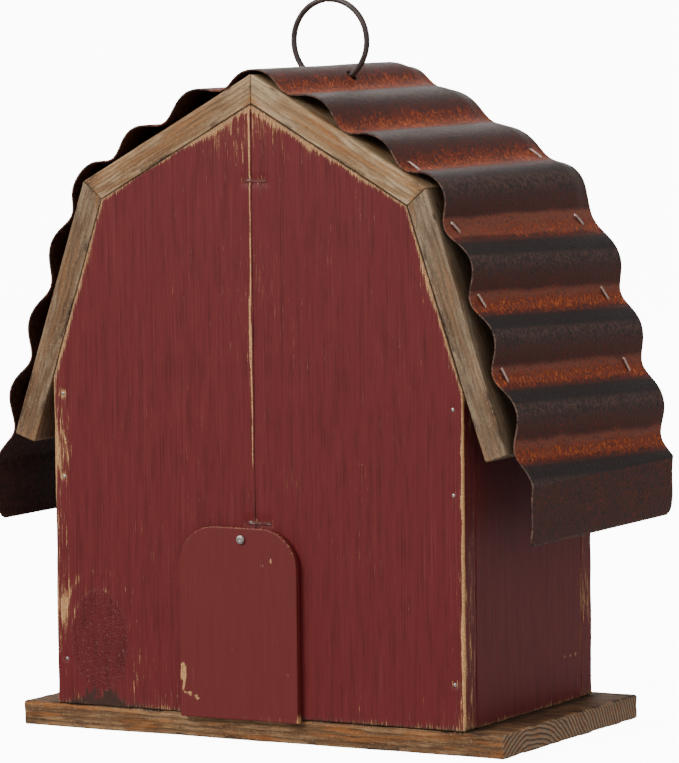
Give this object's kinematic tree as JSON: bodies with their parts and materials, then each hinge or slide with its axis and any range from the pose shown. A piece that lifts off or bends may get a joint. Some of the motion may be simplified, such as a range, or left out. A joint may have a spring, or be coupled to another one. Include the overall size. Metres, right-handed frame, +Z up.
{
  "type": "birdhouse",
  "caption": "Barn-shaped hanging birdhouse with a corrugated gambrel roof, round entrance hole and a swing-aside clean-out cover.",
  "frame": {"origin": "centre of the base board's underside, on the ground plane", "axes": "+Z up towards the ridge; +Y out of the entrance wall, -Y out of the clean-out wall; +X to the right when looking at the clean-out wall"},
  "size_m": [0.2416, 0.1341, 0.2906],
  "materials": {
    "red_painted_wood": "worn semi-matte barn-red paint over softwood, rubbed through at edges",
    "weathered_wood": "unpainted weathered softwood, dark stain brushed into the grain",
    "rusted_sheet": "dark brown patina with rust in the valleys, semi-gloss lacquer",
    "ring_steel": "dark brown-grey wire, satin",
    "bright_fixings": "bright steel, slightly tarnished"
  },
  "bodies": {
    "house": {"base_board": "weathered_wood", "back_board_left": "red_painted_wood", "back_board_right": "red_painted_wood", "front_board_left": "red_painted_wood", "front_board_right": "red_painted_wood", "side_board_left": "red_painted_wood", "side_board_right": "red_painted_wood", "roof_board_upper_left": "weathered_wood", "roof_board_upper_right": "weathered_wood", "roof_board_lower_left": "weathered_wood", "roof_board_lower_right": "weathered_wood", "roof_sheet": "rusted_sheet", "cover_pivot_nail": "bright_fixings", "back_seam_staples": "bright_fixings", "front_seam_staples": "bright_fixings", "back_wall_brads": "bright_fixings", "front_wall_brads": "bright_fixings", "base_nails": "bright_fixings", "roof_board_brads": "bright_fixings", "roof_sheet_staples": "bright_fixings"},
    "cover": {"cleanout_cover": "red_painted_wood"},
    "ring": {"hanging_ring": "ring_steel"}
  },
  "joints": [
    {"name": "cover_pivot", "type": "hinge", "parent": "house", "child": "cover", "pos_m": [-0.0047, -0.0608, 0.0802], "axis": [0, 1, 0], "range_deg": [-180, 180]},
    {"name": "ring_swing", "type": "hinge", "parent": "house", "child": "ring", "pos_m": [0, 0.0055, 0.25928], "axis": [1, 0, 0], "range_deg": [-75, 75]}
  ]
}
